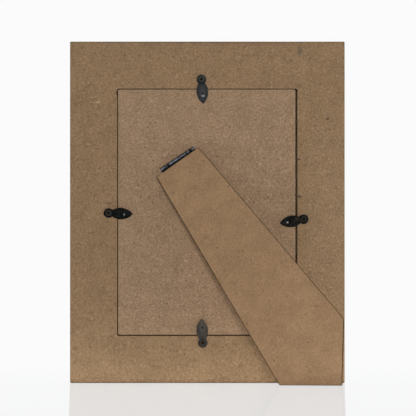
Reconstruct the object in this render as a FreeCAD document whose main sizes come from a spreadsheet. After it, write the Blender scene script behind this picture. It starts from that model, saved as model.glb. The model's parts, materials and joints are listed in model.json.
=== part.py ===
import FreeCAD, Part
import math
import os

import Sketcher
from FreeCAD import Placement, Rotation, Vector

# Easel back photo frame for a 13 x 18 cm print, seen from behind.
#
# The frame is drawn flat in its own panel axes: X to the right as seen from behind, Y up from the
# bottom edge, Z out of the back, with Z = 0 on the rear face of the moulding. The hinge has axes of
# its own: X along the pin, Y away from the leg, Z out of the back. Every piece is then placed in the
# standing position: the frame leans back on its rear bottom edge and the leg stands open behind it.

# Driving sizes in millimetres and degrees: name, value, what it is.
SIZES = (
    ("frame_width", 200.0, "moulding, outside width"),
    ("frame_height", 248.7, "moulding, outside height"),
    ("front_layer", 6.0, "front ring, thickness"),
    ("rail_left", 34.3, "back ring, left rail"),
    ("rail_right", 34.5, "back ring, right rail"),
    ("rail_top", 34.29, "back ring, top rail"),
    ("rail_bottom", 34.4, "back ring, bottom rail"),
    ("window_corner", 1.2, "back ring, radius in the window's corners"),
    ("outer_corner", 0.8, "both rings, radius of the outer corners"),
    ("sight_lap", 5.0, "front ring, how far it laps over the glass"),
    ("sight_bevel", 3.0, "front ring, bevel round the sight opening"),
    ("front_round", 1.0, "front ring, rounding of its outer front edge"),
    ("glass_thickness", 2.0, "glass"),
    ("glass_gap", 0.6, "glass, room to the window all round"),
    ("print_thickness", 0.3, "photo insert"),
    ("print_gap", 0.4, "photo insert, room to the window all round"),
    ("card_thickness", 3.2, "filler card behind the insert"),
    ("card_gap", 0.8, "filler card, room to the window all round"),
    ("board_thickness", 3.0, "backing board"),
    ("board_recess", 0.5, "backing board, depth under the rear face"),
    ("board_gap_left", 0.65, "backing board, gap to the window, left"),
    ("board_gap_right", 1.35, "backing board, gap to the window, right"),
    ("board_gap_top", 0.5, "backing board, gap to the window, top"),
    ("board_gap_bottom", 0.8, "backing board, gap to the window, bottom"),
    ("board_corner", 1.0, "backing board, corner radius"),
    ("hinge_from_left", 78.23, "middle of the hinge pin, from the left edge"),
    ("hinge_from_bottom", 163.09, "middle of the hinge pin, from the bottom edge"),
    ("hinge_rise_angle", 33.5, "slope of the hinge pin, rising to the right"),
    ("knuckle_radius", 1.4, "hinge barrel, outer radius"),
    ("end_knuckle", 5.0, "board leaf, each end knuckle"),
    ("middle_knuckle", 13.0, "board leaf, middle knuckle"),
    ("leg_knuckle", 3.0, "leg leaf, each knuckle"),
    ("knuckle_gap", 0.25, "gap between neighbouring knuckles"),
    ("pin_radius", 0.6, "hinge pin"),
    ("pin_overhang", 0.2, "hinge pin, past each end of the barrel"),
    ("pin_clearance", 0.05, "leg leaf, running clearance on the pin"),
    ("leaf_thickness", 0.8, "both leaves"),
    ("leaf_margin", 2.4, "both leaves, past the holes of their far teeth"),
    ("leaf_relief", 0.3, "leaf plate, room round the other leaf's knuckles"),
    ("tooth_width", 2.0, "leaf teeth, width"),
    ("tooth_cover", 1.2, "leaf teeth, wood of the board or the leg left over their ends"),
    ("tooth_inset", 4.0, "leaf teeth, from the leaf's side edges"),
    ("tooth_row_near", 6.0, "leaf teeth, near row, from the pin"),
    ("tooth_row_pitch", 7.0, "leaf teeth, far row, from the near row"),
    ("tooth_spare", 0.1, "slots, spare depth past the teeth"),
    ("stop_reach", 1.3, "leg leaf, stop heel, from the pin"),
    ("stop_gap", 0.05, "leg leaf, stop heel to the board when open"),
    ("leg_thickness", 3.0, "easel leg"),
    ("leg_top_width", 37.27, "easel leg, top edge"),
    ("leg_top_drop", 3.6, "easel leg, pin to the middle of the top edge"),
    ("leg_top_shift", 1.21, "easel leg, top edge off the hinge's middle, to the left"),
    ("leg_skew_angle", 1.78, "easel leg, how askew it was fixed on its leaf"),
    ("leg_taper_angle", 4.08, "easel leg, flare of each side"),
    ("foot_offset", 8.23, "easel leg, foot corner, right of the hinge's middle"),
    ("foot_side_angle", 1.64, "easel leg, side cut, off square to the foot"),
    ("leg_open_angle", 20.0, "easel leg, opening at the stop"),
    ("lean_angle", 7.14, "frame, lean from upright"),
    ("button_head", 3.5, "turn button, radius of the round end"),
    ("button_half_width", 4.2, "turn button, half the width of the blade"),
    ("button_reach", 17.6, "turn button, pivot to tip"),
    ("button_thickness", 0.8, "turn button, sheet"),
    ("button_rise", 0.5, "turn button, how far it is vaulted"),
    ("button_lift", 0.1, "turn button, clearance over the rear face"),
    ("dimple_from_pivot", 11.8, "turn button, dimple"),
    ("dimple_radius", 2.2, "turn button, radius of the dimple's hollow"),
    ("dimple_depth", 0.45, "turn button, depth of the dimple"),
    ("pivot_clearance", 0.08, "turn button, running clearance on its screw"),
    ("top_button_from_left", 95.74, "top button, pivot from the left edge"),
    ("top_button_set", 6.59, "top button, pivot from the window"),
    ("top_button_angle", 274.0, "top button, direction of the blade"),
    ("left_button_from_bottom", 123.8, "left button, pivot from the bottom edge"),
    ("left_button_set", 6.2, "left button, pivot from the window"),
    ("left_button_angle", 357.6, "left button, direction of the blade"),
    ("right_button_from_bottom", 119.3, "right button, pivot from the bottom edge"),
    ("right_button_set", 4.6, "right button, pivot from the window"),
    ("right_button_angle", 189.6, "right button, direction of the blade"),
    ("bottom_button_from_left", 96.7, "bottom button, pivot from the left edge"),
    ("bottom_button_set", 5.1, "bottom button, pivot from the window"),
    ("bottom_button_angle", 93.0, "bottom button, direction of the blade"),
    ("screw_radius", 1.1, "button screw, shank"),
    ("screw_length", 8.0, "button screw, under the head"),
    ("screw_tip", 1.5, "button screw, length of the point"),
    ("screw_tip_radius", 0.14, "button screw, end of the point"),
    ("screw_head", 2.3, "button screw, radius of the head"),
    ("screw_head_height", 1.1, "button screw, height of the head"),
    ("screw_dome", 0.5, "button screw, how much of the height is domed"),
    ("screw_seat", 0.1, "button screw, head to the button"),
    ("recess_length", 2.7, "button screw, cross recess, tip to tip"),
    ("recess_width", 0.75, "button screw, cross recess, width of a slot"),
    ("recess_depth", 0.8, "button screw, cross recess, depth"),
    ("pilot_spare", 0.4, "pilot hole, spare depth past the screw"),
)

doc = FreeCAD.newDocument("easel_back_photo_frame")
sheet = doc.addObject("Spreadsheet::Sheet", "Sizes")
size = {}


def enter(name, value, meaning):
    """One row of the sheet: what the size is, its number under its own alias, and its name."""
    row = len(size) + 1
    sheet.set("A%d" % row, name)
    sheet.set("B%d" % row, repr(round(float(value), 6)))
    sheet.setAlias("B%d" % row, name)
    sheet.set("C%d" % row, meaning)
    size[name] = float(value)


def formula(text):
    """The text of a sum with every size's name pointed at its cell."""
    words = text.replace("(", "( ").replace(")", " )").split()
    return " ".join("Sizes." + word if word in size else word for word in words)


for sheet_row in SIZES:
    enter(*sheet_row)


# Depths of the layers under the rear face. The back ring is as thick as all that lies in it.

enter("back_layer", sum(size[name] for name in (
    "glass_thickness", "print_thickness", "card_thickness", "board_thickness", "board_recess",
)), "back ring, deep enough for all that it holds")
enter("board_front", size["board_recess"] + size["board_thickness"], "depth of the board's front")
enter("card_front", size["board_front"] + size["card_thickness"], "depth of the card's front")
enter("print_front", size["card_front"] + size["print_thickness"], "depth of the insert's front")
enter("total_depth", size["back_layer"] + size["front_layer"], "depth of the whole moulding")


# Sides of the rings, the window and the pieces in it.

half_width = size["frame_width"] / 2
window = {
    "left": size["rail_left"] - half_width,
    "right": half_width - size["rail_right"],
    "bottom": size["rail_bottom"],
    "top": size["frame_height"] - size["rail_top"],
}
INWARD = {"left": 1, "right": -1, "bottom": 1, "top": -1}

enter("frame_left", -half_width, "left side")
enter("frame_right", half_width, "right side")
enter("frame_bottom", 0, "bottom edge")
enter("frame_top", size["frame_height"], "top edge")
for side, place in window.items():
    enter("window_" + side, place, "window, " + side)
    enter("sight_" + side, place + INWARD[side] * size["sight_lap"], "sight opening, " + side)
    enter("glass_" + side, place + INWARD[side] * size["glass_gap"], "glass, " + side)
    enter("print_" + side, place + INWARD[side] * size["print_gap"], "insert, " + side)
    enter("card_" + side, place + INWARD[side] * size["card_gap"], "card, " + side)
    enter("board_" + side, place + INWARD[side] * size["board_gap_" + side], "board, " + side)


# The hinge: its middle, the ends of its knuckles and its teeth.

enter("hinge_x", size["hinge_from_left"] - half_width, "hinge, middle of the pin")
enter("hinge_height", size["knuckle_radius"] - size["board_recess"], "hinge, pin over the rear face")
enter("barrel_half", size["end_knuckle"] + size["leg_knuckle"] + size["middle_knuckle"] / 2,
      "hinge, half the length of the barrel")
enter("leaf_start", size["knuckle_radius"] + size["leaf_relief"], "leaf plate, nearest it comes")
enter("tooth_outer", size["barrel_half"] - size["tooth_inset"], "teeth, outer side")
enter("tooth_inner", size["tooth_outer"] - size["tooth_width"], "teeth, inner side")
enter("tooth_row_far", size["tooth_row_near"] + size["tooth_row_pitch"], "teeth, far row")
enter("tooth_near_end", size["tooth_row_near"] + size["leaf_thickness"], "teeth, near row, back")
enter("tooth_far_end", size["tooth_row_far"] + size["leaf_thickness"], "teeth, far row, back")
for owner in ("board", "leg"):
    enter(owner + "_tooth", size[owner + "_thickness"] - size["tooth_cover"],
          "teeth in the " + owner + ", their depth and the length of their holes")
    enter(owner + "_slot", size[owner + "_tooth"] + size["tooth_spare"],
          "slots in the " + owner + " that the teeth sit in")
enter("stop_depth", size["knuckle_radius"] - size["stop_gap"], "stop heel, from the pin down")
enter("heel_y", size["stop_depth"] * math.sin(math.radians(size["leg_open_angle"])),
      "stop heel, its lower corner under the pin when closed, along the board")
enter("heel_z", -size["stop_depth"] * math.cos(math.radians(size["leg_open_angle"])),
      "the same corner, square to the board")
enter("leg_inner", size["knuckle_radius"], "leg, inner face, over the pin when closed")
enter("leg_outer", size["leg_inner"] + size["leg_thickness"], "leg, outer face")


# The leg's outline. The foot is cut along the table when the leg stands open, so its line and the
# leg's length follow from the lean, the opening and the slope of the pin.

lean = math.radians(size["lean_angle"])
opening = math.radians(size["leg_open_angle"])
rise = math.radians(size["hinge_rise_angle"])


def standing(across, down, out):
    """How far back and up a point of the open leg is, given along the pin, down the leg and out."""
    in_plane = down * math.cos(opening) - out * math.sin(opening)
    panel_y = size["hinge_from_bottom"] + across * math.sin(rise) - in_plane * math.cos(rise)
    panel_z = size["hinge_height"] + down * math.sin(opening) + out * math.cos(opening)
    back = panel_y * math.sin(lean) + panel_z * math.cos(lean)
    up = panel_y * math.cos(lean) - panel_z * math.sin(lean)
    return back, up


height_at_pin = standing(0, 0, size["leg_inner"])[1]
climb_across = math.sin(rise) * math.cos(lean)
fall_down = (math.cos(opening) * math.cos(rise) * math.cos(lean)
             + math.sin(opening) * math.sin(lean))
foot_slope = climb_across / fall_down
foot_down = height_at_pin / fall_down + foot_slope * size["foot_offset"]


def crossing(point, slope_angle, other, other_angle):
    """Where two lines meet, each through a point at an angle from the pin's direction."""
    step = (math.cos(slope_angle), math.sin(slope_angle))
    other_step = (math.cos(other_angle), math.sin(other_angle))
    gap = (other[0] - point[0], other[1] - point[1])
    determinant = step[0] * other_step[1] - step[1] * other_step[0]
    along = (gap[0] * other_step[1] - gap[1] * other_step[0]) / determinant
    return point[0] + along * step[0], point[1] + along * step[1]


skew = -math.radians(size["leg_skew_angle"])
taper = math.radians(size["leg_taper_angle"])
foot_angle = -math.atan(foot_slope)
quarter = math.pi / 2
half_top = size["leg_top_width"] / 2
top_across = (half_top * math.cos(skew), -half_top * math.sin(skew))
leg_points = {
    "top_left": (-size["leg_top_shift"] - top_across[0], -size["leg_top_drop"] - top_across[1]),
    "top_right": (-size["leg_top_shift"] + top_across[0], -size["leg_top_drop"] + top_across[1]),
    "foot_corner": (size["foot_offset"], -foot_down),
}
left_angle = -quarter - skew - taper
right_angle = -quarter - skew + taper
side_angle = foot_angle + quarter - math.radians(size["foot_side_angle"])
leg_points["foot_left"] = crossing(
    leg_points["top_left"], left_angle, leg_points["foot_corner"], foot_angle)
leg_points["side_top"] = crossing(
    leg_points["top_right"], right_angle, leg_points["foot_corner"], side_angle)
for corner, (point_x, point_y) in leg_points.items():
    enter("leg_%s_x" % corner, point_x, "leg, %s, along the pin" % corner)
    enter("leg_%s_y" % corner, point_y, "leg, %s, from the pin" % corner)


# The turn buttons and their screws.

enter("blade_middle", size["button_reach"] / 2, "turn button, middle of the blade")
enter("blade_radius", (size["blade_middle"] ** 2 + size["button_half_width"] ** 2)
      / (2 * size["button_half_width"]), "turn button, radius of the blade's sides")
enter("vault_radius", (size["button_half_width"] ** 2 + size["button_rise"] ** 2)
      / (2 * size["button_rise"]), "turn button, radius of its vault")
enter("button_crown", size["button_lift"] + size["button_rise"] + size["button_thickness"],
      "turn button, top of the vault over the rear face")
enter("screw_seat_height", size["button_crown"] + size["screw_seat"], "underside of the head")
enter("pilot_depth", size["screw_length"] - size["screw_seat_height"] + size["pilot_spare"],
      "pilot hole in the back ring")
enter("screw_dome_radius", (size["screw_head"] ** 2 + size["screw_dome"] ** 2)
      / (2 * size["screw_dome"]), "button screw, radius of the domed top")

pivots = {
    "top": (size["top_button_from_left"] - half_width, window["top"] + size["top_button_set"]),
    "left": (window["left"] - size["left_button_set"], size["left_button_from_bottom"]),
    "right": (window["right"] + size["right_button_set"], size["right_button_from_bottom"]),
    "bottom": (size["bottom_button_from_left"] - half_width,
               window["bottom"] - size["bottom_button_set"]),
}
for side, (point_x, point_y) in pivots.items():
    enter("pivot_%s_x" % side, point_x, "%s button, pivot" % side)
    enter("pivot_%s_y" % side, point_y, "%s button, pivot" % side)
doc.recompute()


# Where things stand. The origin lies on the table, midway between the frontmost and rearmost points.

front_back = -size["total_depth"] * math.cos(lean)
foot_back = max(standing(x, -y, size["leg_outer"])[0] for x, y in leg_points.values())
upright = Rotation(Vector(0, 1, 1), 180)
leaning = Rotation(Vector(1, 0, 0), -size["lean_angle"])
on_table = Vector(0, -(front_back + foot_back) / 2, 0)
panel_place = Placement(on_table, leaning.multiply(upright))
hinge_place = panel_place.multiply(Placement(
    Vector(size["hinge_x"], size["hinge_from_bottom"], size["hinge_height"]),
    Rotation(Vector(0, 0, 1), size["hinge_rise_angle"])))
leg_place = hinge_place.multiply(Placement(
    Vector(0, 0, 0), Rotation(Vector(1, 0, 0), -size["leg_open_angle"])))

nodes = []


def finish(piece, label, place):
    """Names a finished sub-part and puts it where it stands."""
    piece.Label = label
    piece.Placement = place
    nodes.append(piece)


# Sketched bodies.

def new_body(name):
    return doc.addObject("PartDesign::Body", name + "_body")


def new_sketch(body, name, level):
    """A sketch in the body's XY plane, at a height that follows the sheet."""
    sketch = body.newObject("Sketcher::SketchObject", name)
    plane = [item for item in body.Origin.OriginFeatures if item.Role == "XY_Plane"][0]
    sketch.AttachmentSupport = [(plane, "")]
    sketch.MapMode = "FlatFace"
    sketch.setExpression("AttachmentOffset.Base.z", formula(level))
    return sketch


def hold(sketch, axis, item, point, name):
    """Ties one coordinate of a sketch point to a size, on whichever side of the axis it lies."""
    sign = -1 if name.startswith("-") else 1
    alias = name.lstrip("-")
    value = sign * size[alias]
    text = "Sizes." + alias
    if value == 0:
        line = -2 if axis == "X" else -1
        sketch.addConstraint(Sketcher.Constraint("PointOnObject", item, point, line))
        return
    ends = (-1, 1, item, point) if value > 0 else (item, point, -1, 1)
    index = sketch.addConstraint(Sketcher.Constraint("Distance" + axis, *ends, abs(value)))
    flip = "-" if (value > 0) != (sign > 0) else ""
    sketch.setExpression("Constraints[%d]" % index, flip + text)


def signed(name):
    """A size, or its opposite where the name has a minus in front."""
    return -size[name[1:]] if name.startswith("-") else size[name]


def draw_outline(sketch, corners):
    """A closed outline of straight lines, each corner held by the sizes that it is named after."""
    spots = [Vector(signed(x), signed(y), 0) for x, y in corners]
    first = sketch.GeometryCount
    count = len(spots)
    for index, spot in enumerate(spots):
        sketch.addGeometry(Part.LineSegment(spot, spots[(index + 1) % count]))
    for index, (x, y) in enumerate(corners):
        item = first + index
        before = first + (index - 1) % count
        sketch.addConstraint(Sketcher.Constraint("Coincident", before, 2, item, 1))
        hold(sketch, "X", item, 1, x)
        hold(sketch, "Y", item, 1, y)


def rectangle(prefix):
    """The corners of the rectangle between four sizes that share a prefix."""
    left, right = prefix + "_left", prefix + "_right"
    bottom, top = prefix + "_bottom", prefix + "_top"
    return [(left, bottom), (right, bottom), (right, top), (left, top)]


def pad(body, sketch, length):
    """Raises the sketch's outline to a solid."""
    feature = body.newObject("PartDesign::Pad", sketch.Name + "_pad")
    feature.Profile = sketch
    feature.setExpression("Length", formula(length))
    doc.recompute()
    return feature


def pocket(body, sketch, length, towards_back=False):
    """Cuts the sketch into the body and makes sure that something was cut."""
    before = body.Shape.Volume
    feature = body.newObject("PartDesign::Pocket", sketch.Name + "_pocket")
    feature.Profile = sketch
    feature.Reversed = towards_back
    feature.setExpression("Length", formula(length))
    doc.recompute()
    if not body.Shape.Volume < before:
        raise RuntimeError(sketch.Name + " cuts nothing")
    return feature


# How far a place may be off, as a share of the edge or thickness it is compared on.
SAME_PLACE_SHARE = 1e-6


def upright_edges(shape, corners):
    """The edges along Z that stand on the named corners."""
    found = []
    for index, edge in enumerate(shape.Edges):
        low, high = edge.Vertexes[0].Point, edge.Vertexes[-1].Point
        near = edge.Length * SAME_PLACE_SHARE
        if edge.Length - abs(low.z - high.z) > near:
            continue
        for x, y in corners:
            if math.hypot(low.x - signed(x), low.y - signed(y)) < near:
                found.append("Edge%d" % (index + 1))
    return found


def dress(body, kind, base, edges, name, length):
    """A fillet or a chamfer on some of the body's edges."""
    feature = body.newObject("PartDesign::" + kind, name)
    feature.Base = (base, edges)
    feature.setExpression("Radius" if kind == "Fillet" else "Size", formula(length))
    doc.recompute()
    return feature


# Back ring: one piece of MDF with a window, and the pilot holes of the four button screws.

back_ring = new_body("back_ring")
ring_sketch = new_sketch(back_ring, "back_ring_outline", "-1 * back_layer")
draw_outline(ring_sketch, rectangle("frame"))
pad(back_ring, ring_sketch, "back_layer")
window_sketch = new_sketch(back_ring, "back_ring_window", "frame_bottom")
draw_outline(window_sketch, rectangle("window"))
cut_window = pocket(back_ring, window_sketch, "back_layer")
window_edges = upright_edges(back_ring.Shape, rectangle("window"))
window_fillet = dress(back_ring, "Fillet", cut_window, window_edges, "window_fillet", "window_corner")
outer_edges = upright_edges(back_ring.Shape, rectangle("frame"))
dress(back_ring, "Fillet", window_fillet, outer_edges, "back_ring_fillet", "outer_corner")
pilot_sketch = new_sketch(back_ring, "pilot_holes", "frame_bottom")
for side, (point_x, point_y) in pivots.items():
    circle = Part.Circle(Vector(point_x, point_y, 0), Vector(0, 0, 1), size["screw_radius"])
    item = pilot_sketch.addGeometry(circle)
    hold(pilot_sketch, "X", item, 3, "pivot_%s_x" % side)
    hold(pilot_sketch, "Y", item, 3, "pivot_%s_y" % side)
    radius = pilot_sketch.addConstraint(
        Sketcher.Constraint("Radius", item, size["screw_radius"]))
    pilot_sketch.setExpression("Constraints[%d]" % radius, "Sizes.screw_radius")
pocket(back_ring, pilot_sketch, "pilot_depth")
finish(back_ring, "back_ring", panel_place)


# Front ring: the visible face, glued on, which laps over the glass all round.

front_ring = new_body("front_ring")
face_sketch = new_sketch(front_ring, "front_ring_outline", "-1 * total_depth")
draw_outline(face_sketch, rectangle("frame"))
pad(front_ring, face_sketch, "front_layer")
sight_sketch = new_sketch(front_ring, "sight_opening", "-1 * back_layer")
draw_outline(sight_sketch, rectangle("sight"))
cut_sight = pocket(front_ring, sight_sketch, "front_layer")
outer_edges = upright_edges(front_ring.Shape, rectangle("frame"))
face_fillet = dress(front_ring, "Fillet", cut_sight, outer_edges, "front_ring_fillet", "outer_corner")


def front_edges(shape, around_sight):
    """The edges of the front face, either round the sight opening or round the outside."""
    found = []
    face_level = -size["total_depth"] + size["front_layer"] * SAME_PLACE_SHARE
    for index, edge in enumerate(shape.Edges):
        if edge.BoundBox.ZMax > face_level:
            continue
        middle = edge.BoundBox.Center
        across = window["left"] < middle.x < window["right"]
        up = window["bottom"] < middle.y < window["top"]
        if (across and up) == around_sight:
            found.append("Edge%d" % (index + 1))
    return found


sight_edges = front_edges(front_ring.Shape, True)
bevel = dress(front_ring, "Chamfer", face_fillet, sight_edges, "sight_bevel_cut", "sight_bevel")
rim_edges = front_edges(front_ring.Shape, False)
dress(front_ring, "Fillet", bevel, rim_edges, "front_edge_fillet", "front_round")
finish(front_ring, "front_ring", panel_place)


# Backing board: a thin panel in the window, with slots for the teeth of the hinge.

def slot_sketch(body, name, level):
    """The four slots of a leaf's teeth, in the hinge's axes."""
    sketch = new_sketch(body, name, level)
    for near, far in (("tooth_row_near", "tooth_near_end"), ("tooth_row_far", "tooth_far_end")):
        for one, other in (("tooth_inner", "tooth_outer"), ("-tooth_outer", "-tooth_inner")):
            draw_outline(sketch, [
                (one, "-" + far), (other, "-" + far), (other, "-" + near), (one, "-" + near)])
    return sketch


backing_board = new_body("backing_board")
board_sketch = new_sketch(backing_board, "board_outline", "-1 * board_front")
draw_outline(board_sketch, rectangle("board"))
board_pad = pad(backing_board, board_sketch, "board_thickness")
board_edges = upright_edges(backing_board.Shape, rectangle("board"))
dress(backing_board, "Fillet", board_pad, board_edges, "board_fillet", "board_corner")
board_slots = slot_sketch(backing_board, "board_slots", "-1 * board_recess")
board_slots.AttachmentOffset = Placement(
    board_slots.AttachmentOffset.Base, Rotation(Vector(0, 0, 1), size["hinge_rise_angle"]))
board_slots.setExpression("AttachmentOffset.Base.x", "Sizes.hinge_x")
board_slots.setExpression("AttachmentOffset.Base.y", "Sizes.hinge_from_bottom")
pocket(backing_board, board_slots, "board_slot")
finish(backing_board, "backing_board", panel_place)


# Easel leg: a tapered board, cut at the foot along the table, with the slots of its own leaf.

easel_leg = new_body("easel_leg")
leg_sketch = new_sketch(easel_leg, "leg_outline", "leg_inner")
draw_outline(leg_sketch, [
    ("leg_%s_x" % corner, "leg_%s_y" % corner)
    for corner in ("top_left", "foot_left", "foot_corner", "side_top", "top_right")])
pad(easel_leg, leg_sketch, "leg_thickness")
leg_slots = slot_sketch(easel_leg, "leg_slots", "leg_inner")
pocket(easel_leg, leg_slots, "leg_slot", towards_back=True)
finish(easel_leg, "easel_leg", leg_place)


# Solids made of primitives.

def primitive(kind, name, sizes, place=(), turn=None):
    """A box, cylinder, cone or sphere, its sizes and its place, if given, following the sheet."""
    piece = doc.addObject("Part::" + kind, name)
    if turn:
        piece.Placement = Placement(Vector(0, 0, 0), turn)
    for word, text in sizes.items():
        piece.setExpression(word, formula(text))
    for axis, text in zip("xyz", place):
        piece.setExpression("Placement.Base." + axis, formula(text))
    return piece


def joined(name, pieces):
    """One solid of all the pieces."""
    piece = doc.addObject("Part::MultiFuse", name)
    piece.Shapes = pieces
    return piece


def shared(name, pieces):
    """What the pieces have in common."""
    piece = doc.addObject("Part::MultiCommon", name)
    piece.Shapes = pieces
    return piece


def less(name, base, tool):
    """The base with the tool cut away."""
    piece = doc.addObject("Part::Cut", name)
    piece.Base = base
    piece.Tool = tool
    return piece


# Glass, photo insert and filler card: flat sheets, one behind the other.

for label, prefix, thickness, front in (
    ("glazing", "glass", "glass_thickness", "back_layer"),
    ("photo_insert", "print", "print_thickness", "print_front"),
    ("filler_card", "card", "card_thickness", "card_front"),
):
    flat_piece = primitive("Box", label + "_sheet", {
        "Length": "%s_right - %s_left" % (prefix, prefix),
        "Width": "%s_top - %s_bottom" % (prefix, prefix),
        "Height": thickness,
    })
    finish(flat_piece, label, panel_place.multiply(Placement(
        Vector(size[prefix + "_left"], size[prefix + "_bottom"], -size[front]), Rotation())))


# Hinge: two stamped leaves rolled round one pin. The board leaf has the two end knuckles and the
# middle one, the leg leaf the two short ones. Teeth bent out of each leaf sit in the slots.

ALONG_PIN = Rotation(Vector(0, 1, 0), 90)
KNUCKLES = {
    "board": (
        ("-1 * barrel_half", "end_knuckle - knuckle_gap / 2"),
        ("-1 * middle_knuckle / 2 + knuckle_gap / 2", "middle_knuckle - knuckle_gap"),
        ("barrel_half - end_knuckle + knuckle_gap / 2", "end_knuckle - knuckle_gap / 2"),
    ),
    "leg": (
        ("-1 * middle_knuckle / 2 - leg_knuckle + knuckle_gap / 2", "leg_knuckle - knuckle_gap"),
        ("middle_knuckle / 2 + knuckle_gap / 2", "leg_knuckle - knuckle_gap"),
    ),
}


def leaf(owner, plate_level, tooth_level, bore_radius, extra=()):
    """A leaf: rolled knuckles, tongues to the plate, and punched teeth beside their holes."""
    tooth = owner + "_tooth"
    reach = "tooth_far_end + %s + leaf_margin" % tooth
    pieces = [primitive("Box", owner + "_plate", {
        "Length": "2 * barrel_half",
        "Width": reach + " - leaf_start",
        "Height": "leaf_thickness",
    }, ("-1 * barrel_half", "-1 * ( %s )" % reach, plate_level))]
    for index, (start, length) in enumerate(KNUCKLES[owner]):
        pieces.append(primitive("Cylinder", "%s_knuckle_%d" % (owner, index), {
            "Radius": "knuckle_radius", "Height": length}, (start, "0", "0"), ALONG_PIN))
        pieces.append(primitive("Box", "%s_tongue_%d" % (owner, index), {
            "Length": length, "Width": "leaf_start", "Height": "leaf_thickness",
        }, (start, "-1 * leaf_start", plate_level)))
    holes = [primitive("Cylinder", owner + "_bore", {
        "Radius": bore_radius, "Height": "2 * barrel_half"},
        ("-1 * barrel_half", "0", "0"), ALONG_PIN)]
    for side, start in (("left", "-1 * tooth_outer"), ("right", "tooth_inner")):
        for row, end in (("near", "tooth_near_end"), ("far", "tooth_far_end")):
            name = "%s_tooth_%s_%s" % (owner, side, row)
            pieces.append(primitive("Box", name, {
                "Length": "tooth_width", "Width": "leaf_thickness",
                "Height": tooth + " + leaf_thickness",
            }, (start, "-1 * " + end, tooth_level)))
            holes.append(primitive("Box", name + "_hole", {
                "Length": "tooth_width", "Width": tooth, "Height": "leaf_thickness",
            }, (start, "-1 * %s - %s" % (end, tooth), plate_level)))
    pieces.extend(extra)
    return less("hinge_%s_leaf_solid" % owner, joined(owner + "_leaf_blank", pieces),
                joined(owner + "_leaf_holes", holes))


board_leaf = leaf("board", "-1 * knuckle_radius", "-1 * knuckle_radius - board_tooth", "pin_radius")
finish(board_leaf, "hinge_board_leaf", hinge_place)

# The leg leaf's knuckles have a square heel that comes down on the board at the open stop.
heels = [
    primitive("Box", "stop_heel_%d" % index, {
        "Length": length, "Width": "stop_reach", "Height": "stop_depth",
    }, (start, "heel_y", "heel_z"), Rotation(Vector(1, 0, 0), size["leg_open_angle"]))
    for index, (start, length) in enumerate(KNUCKLES["leg"])]
leg_leaf = leaf("leg", "knuckle_radius - leaf_thickness", "knuckle_radius - leaf_thickness",
                "pin_radius + pin_clearance", heels)
finish(leg_leaf, "hinge_leg_leaf", leg_place)

hinge_pin = primitive("Cylinder", "hinge_pin_rod", {
    "Radius": "pin_radius", "Height": "2 * barrel_half + 2 * pin_overhang"})
finish(hinge_pin, "hinge_pin", hinge_place.multiply(Placement(
    Vector(-size["barrel_half"] - size["pin_overhang"], 0, 0), ALONG_PIN)))


# Turn button: a stamped leaf of steel, round at the pivot and pointed at the tip, lightly vaulted,
# with a dimple that presses on the board.

def turn_button(side):
    """The turn button of one side, its pivot at the origin and its blade along X."""
    def part_name(word):
        return "button_%s_%s" % (side, word)

    flank = "blade_radius - button_half_width"
    height = "button_rise + button_thickness"
    blade = shared(part_name("blade"), [
        primitive("Cylinder", part_name("flank_%s" % word), {
            "Radius": "blade_radius", "Height": height},
            ("blade_middle", sign + " * ( " + flank + " )", "button_lift"))
        for word, sign in (("one", "1"), ("other", "-1"))])
    head = primitive("Cylinder", part_name("head"), {
        "Radius": "button_head", "Height": height}, ("0", "0", "button_lift"))
    blank = joined(part_name("blank"), [head, blade])
    vaults = [
        primitive("Cylinder", part_name(word), {
            "Radius": "vault_radius", "Height": "2 * button_reach"},
            ("-1 * button_reach / 2", "0", level), ALONG_PIN)
        for word, level in (
            ("vault_top", "button_crown - vault_radius"),
            ("vault_under", "button_crown - button_thickness - vault_radius"))]
    shell = less(part_name("shell"), shared(part_name("rounded"), [blank, vaults[0]]), vaults[1])
    dimple_place = ("dimple_from_pivot", "0", "button_crown - dimple_depth + dimple_radius")
    lump = shared(part_name("lump"), [
        shared(part_name("under_vault"), [blank, vaults[0]]),
        primitive("Sphere", part_name("lump_ball"), {
            "Radius": "dimple_radius + button_thickness"}, dimple_place)])
    hollows = joined(part_name("hollows"), [
        primitive("Sphere", part_name("hollow_ball"), {"Radius": "dimple_radius"}, dimple_place),
        primitive("Cylinder", part_name("pivot_hole"), {
            "Radius": "screw_radius + pivot_clearance", "Height": "button_crown"})])
    return less(part_name("solid"), joined(part_name("dimpled"), [shell, lump]), hollows)


# Button screw: a domed head with a cross recess, a plain shank and a point.

def button_screw(side):
    """The screw of one side's turn button, upright at the origin."""
    def part_name(word):
        return "screw_%s_%s" % (side, word)

    head_top = "screw_seat_height + screw_head_height"
    head = shared(part_name("head"), [
        primitive("Cylinder", part_name("head_blank"), {
            "Radius": "screw_head", "Height": "screw_head_height"}, ("0", "0", "screw_seat_height")),
        primitive("Sphere", part_name("head_ball"), {"Radius": "screw_dome_radius"},
                  ("0", "0", head_top + " - screw_dome_radius"))])
    shank = primitive("Cylinder", part_name("shank"), {
        "Radius": "screw_radius", "Height": "screw_length - screw_tip"},
        ("0", "0", "screw_seat_height - screw_length + screw_tip"))
    point = primitive("Cone", part_name("point"), {
        "Radius1": "screw_tip_radius", "Radius2": "screw_radius", "Height": "screw_tip"},
        ("0", "0", "screw_seat_height - screw_length"))
    slots = joined(part_name("recess"), [
        primitive("Box", part_name("slot_%s" % word), {
            "Length": along, "Width": across, "Height": "recess_depth"},
            ("-1 * %s / 2" % along, "-1 * %s / 2" % across, head_top + " - recess_depth"))
        for word, along, across in (
            ("one", "recess_length", "recess_width"), ("other", "recess_width", "recess_length"))])
    return less(part_name("solid"), joined(part_name("blank"), [head, shank, point]), slots)


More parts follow.
